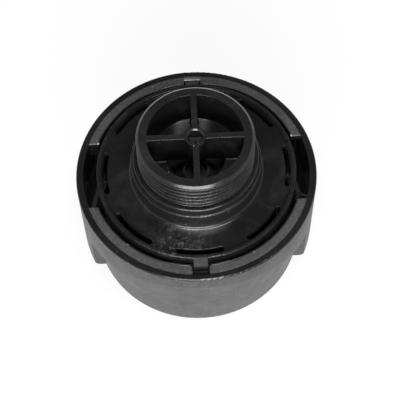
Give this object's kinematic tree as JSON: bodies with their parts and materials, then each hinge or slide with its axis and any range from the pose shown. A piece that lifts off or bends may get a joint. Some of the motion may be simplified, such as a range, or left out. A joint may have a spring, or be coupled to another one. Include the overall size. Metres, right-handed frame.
{
  "type": "hydraulic filler breather",
  "caption": "Round plastic tank breather standing on its gripped cap: bayonet-locked base with air slots, a threaded neck with a cross web, an inner pleated filter and sprung valves.",
  "frame": {"origin": "centre of the flat top of the cap, which it rests on", "axes": "+Z along the neck's axis, out of the neck's mouth, the way it goes into the tank; X through the two grips and the two bayonet gaps"},
  "size_m": [0.088, 0.088, 0.071],
  "materials": {
    "cap_plastic": "fine-textured black glass-filled nylon",
    "base_plastic": "satin black glass-filled nylon",
    "black_rubber": "satin nitrile rubber",
    "filter_paper": "pleated cellulose paper",
    "core_steel": "tinned",
    "end_disc_plastic": "satin",
    "valve_plastic": "satin acetal",
    "spring_steel": "bright spring wire",
    "plate_steel": "zinc plated"
  },
  "bodies": {
    "housing": {"cap": "cap_plastic", "base": "base_plastic", "neck_seal": "black_rubber", "filter_media": "filter_paper", "filter_core": "core_steel", "filter_end_disc_upper": "end_disc_plastic", "filter_end_disc_lower": "end_disc_plastic", "filter_seal_upper": "black_rubber", "filter_seal_lower": "black_rubber", "valve_carrier": "valve_plastic", "carrier_seal": "black_rubber", "valve_stem": "valve_plastic", "stem_clip": "spring_steel", "spring_retainer": "plate_steel", "pressure_spring": "spring_steel", "vacuum_spring": "spring_steel"},
    "pressure_valve": {"pressure_valve_plate": "valve_plastic", "pressure_valve_seal": "black_rubber"},
    "vacuum_valve": {"vacuum_valve_plate": "valve_plastic", "vacuum_valve_seal": "black_rubber"}
  },
  "joints": [
    {"name": "pressure_valve_lift", "type": "slide", "parent": "housing", "child": "pressure_valve", "axis": [0, 0, -1], "range_m": [0, 0.003], "stiffness_N_per_m": 1500, "springref_m": -0.006, "deforming": ["pressure_spring"]},
    {"name": "vacuum_valve_lift", "type": "slide", "parent": "pressure_valve", "child": "vacuum_valve", "axis": [0, 0, 1], "range_m": [0, 0.0018], "stiffness_N_per_m": 60, "springref_m": -0.003, "deforming": ["vacuum_spring"]}
  ]
}
